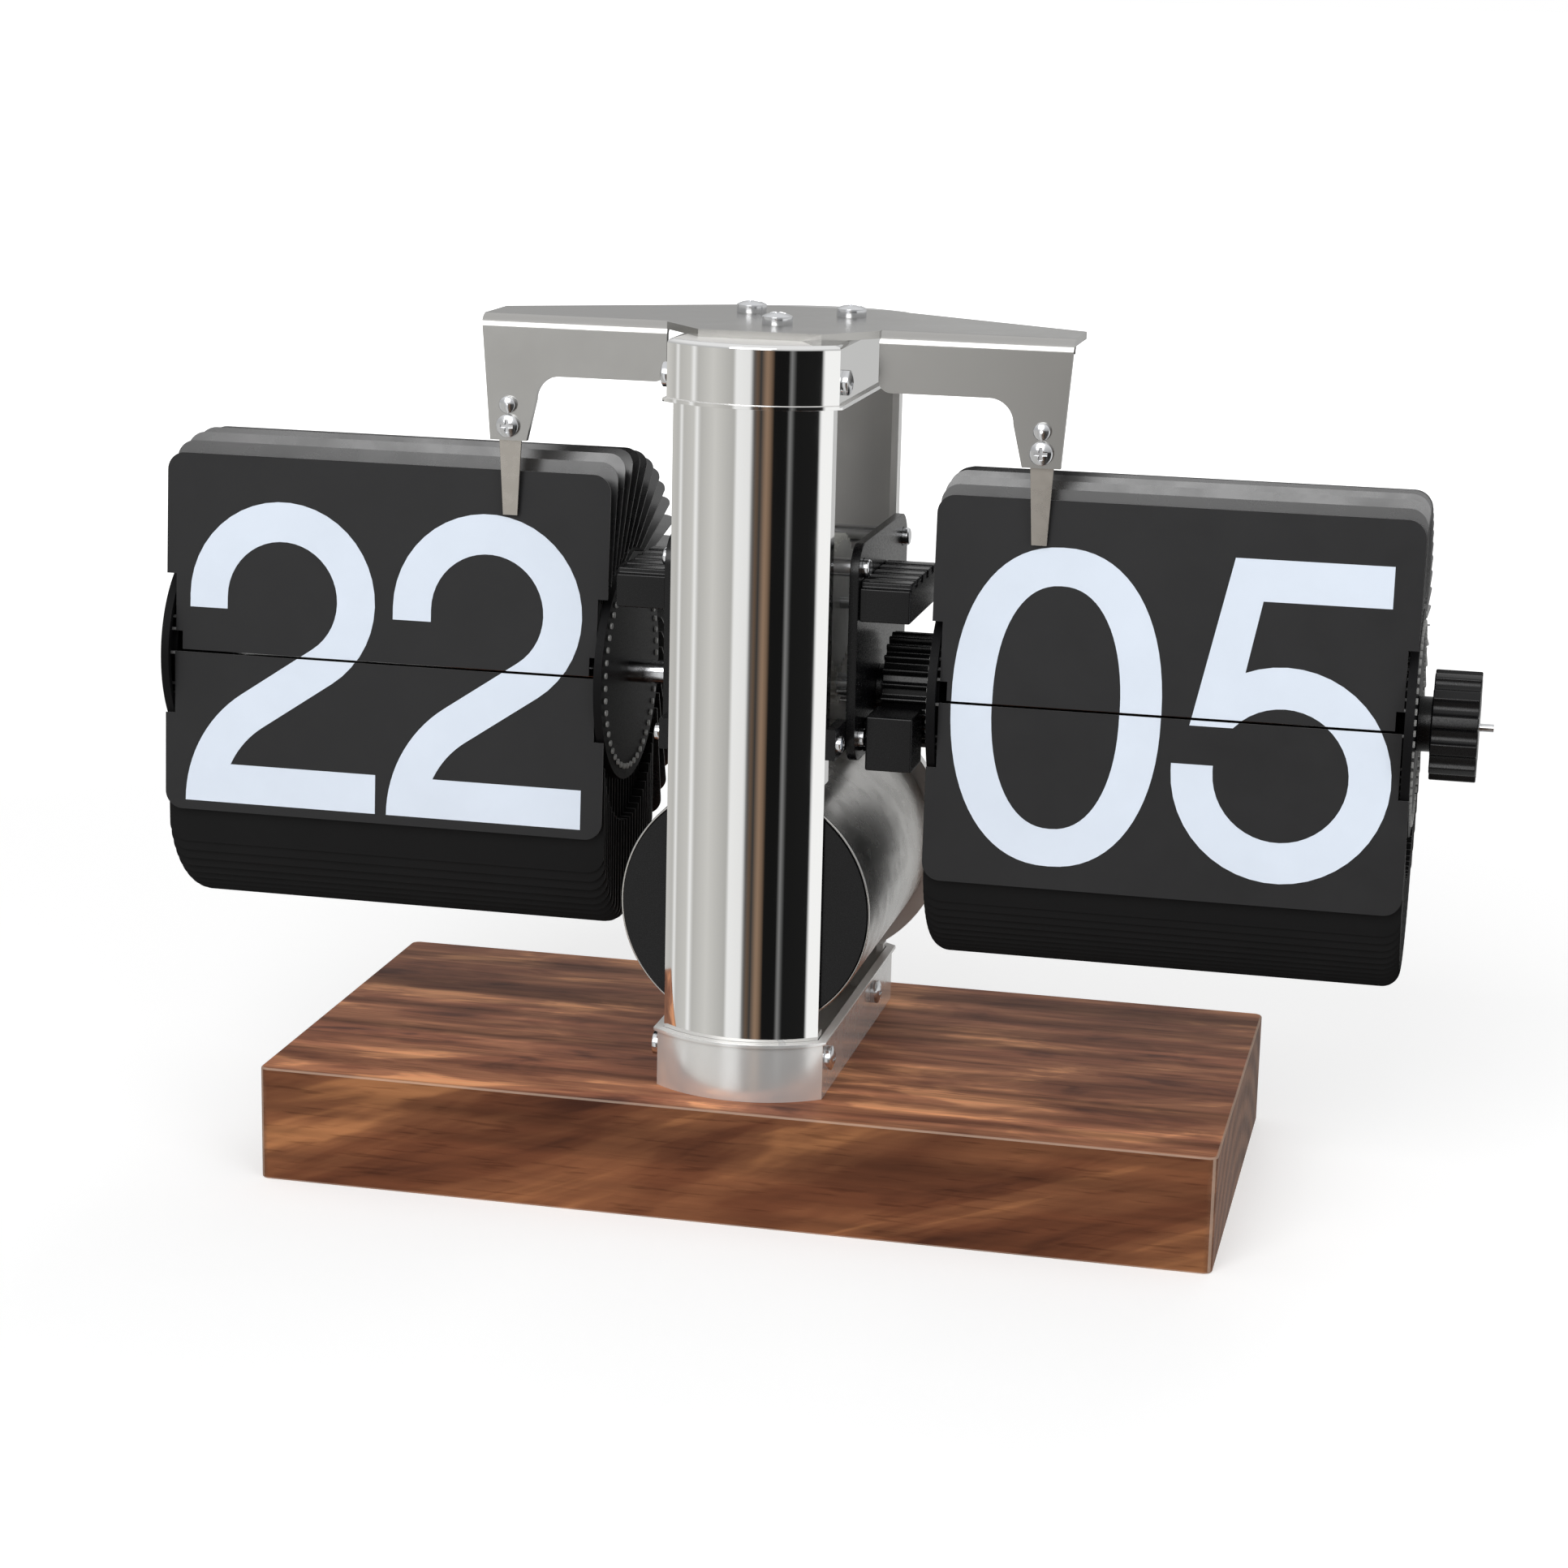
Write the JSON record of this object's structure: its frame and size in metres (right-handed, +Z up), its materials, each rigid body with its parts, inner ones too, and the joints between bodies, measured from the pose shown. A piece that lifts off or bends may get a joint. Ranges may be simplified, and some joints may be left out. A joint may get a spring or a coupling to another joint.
{
  "type": "flip clock",
  "caption": "Desk flip clock with split-flap hour and minute drums either side of a bowed chrome stand on a walnut base, turned by a side knob and fed by a battery barrel.",
  "frame": {"origin": "middle of the wooden base's underside, on the table", "axes": "+X to the viewer's right along the drum shafts, +Y to the back, +Z up"},
  "size_m": [0.223, 0.08, 0.1462],
  "materials": {
    "walnut": "oiled walnut with flame figure",
    "chrome": "polished chrome plate",
    "steel": "bright zinc-plated steel",
    "black_plastic": "black moulded plastic",
    "flap_black": "satin charcoal film",
    "digit_white": "screen-printed white",
    "contact_brass": "plain brass",
    "gear_white": "natural acetal",
    "cell_can": "plain lacquered can"
  },
  "bodies": {
    "stand": {"wood_base": "walnut", "base_screws": "steel", "foot_frame": "chrome", "foot_screws": "steel", "front_column": "chrome", "rear_column": "chrome", "top_cap": "chrome", "cap_screws": "steel", "cross_arm": "chrome", "arm_screws": "steel", "left_finger": "steel", "right_finger": "steel", "finger_screws": "steel", "finger_rivets": "steel", "battery_barrel": "black_plastic", "barrel_sleeve": "chrome", "battery_cell": "cell_can", "front_contact": "contact_brass", "gearbox_left_plate": "black_plastic", "gearbox_centre_plate": "black_plastic", "gearbox_right_plate": "black_plastic", "gearbox_spacers": "steel", "gearbox_feet": "black_plastic", "gearbox_screws": "steel", "gearbox_bridges": "black_plastic", "motor_module": "black_plastic", "hour_lower_flap": "flap_black", "hour_lower_digits": "digit_white", "hour_upper_stack": "flap_black", "hour_lower_stack": "flap_black", "minute_lower_flap": "flap_black", "minute_lower_digits": "digit_white", "minute_upper_stack": "flap_black", "minute_lower_stack": "flap_black"},
    "minute_drum": {"minute_shaft": "steel", "minute_pinion": "gear_white", "minute_inner_disc": "black_plastic", "minute_outer_disc": "black_plastic", "setting_knob": "black_plastic", "drive_sleeve": "black_plastic"},
    "hour_drum": {"hour_shaft": "steel", "hour_gear": "gear_white", "hour_inner_disc": "black_plastic", "hour_outer_disc": "black_plastic"},
    "lay_train": {"lay_shaft": "steel", "lay_gear": "gear_white", "lay_pinion": "gear_white"},
    "hour_flap": {"hour_front_flap": "flap_black", "hour_upper_digits": "digit_white"},
    "minute_flap": {"minute_front_flap": "flap_black", "minute_upper_digits": "digit_white"},
    "battery_door": {"battery_cap": "black_plastic", "rear_contact": "contact_brass"}
  },
  "joints": [
    {"name": "minute_drum_spin", "type": "hinge", "parent": "stand", "child": "minute_drum", "pos_m": [0.0662, 0, 0.083], "axis": [1, 0, 0], "continuous": true},
    {"name": "lay_spin", "type": "hinge", "parent": "stand", "child": "lay_train", "pos_m": [0, 0, 0.097], "axis": [1, 0, 0], "continuous": true},
    {"name": "hour_drum_spin", "type": "hinge", "parent": "stand", "child": "hour_drum", "pos_m": [-0.0662, 0, 0.083], "axis": [1, 0, 0], "continuous": true},
    {"name": "hour_flip", "type": "hinge", "parent": "stand", "child": "hour_flap", "pos_m": [-0.0662, -0.01555, 0.0882], "axis": [1, 0, 0], "range_deg": [0, 165]},
    {"name": "minute_flip", "type": "hinge", "parent": "stand", "child": "minute_flap", "pos_m": [0.0662, -0.01555, 0.0882], "axis": [1, 0, 0], "range_deg": [0, 165]},
    {"name": "battery_cap_turn", "type": "hinge", "parent": "stand", "child": "battery_door", "pos_m": [0, 0.036, 0.0505], "axis": [0, 1, 0], "range_deg": [0, 60]}
  ],
  "couplings": [
    {"joint": "lay_spin", "follows": "minute_drum_spin", "ratio": -0.25},
    {"joint": "hour_drum_spin", "follows": "minute_drum_spin", "ratio": 0.041667}
  ]
}
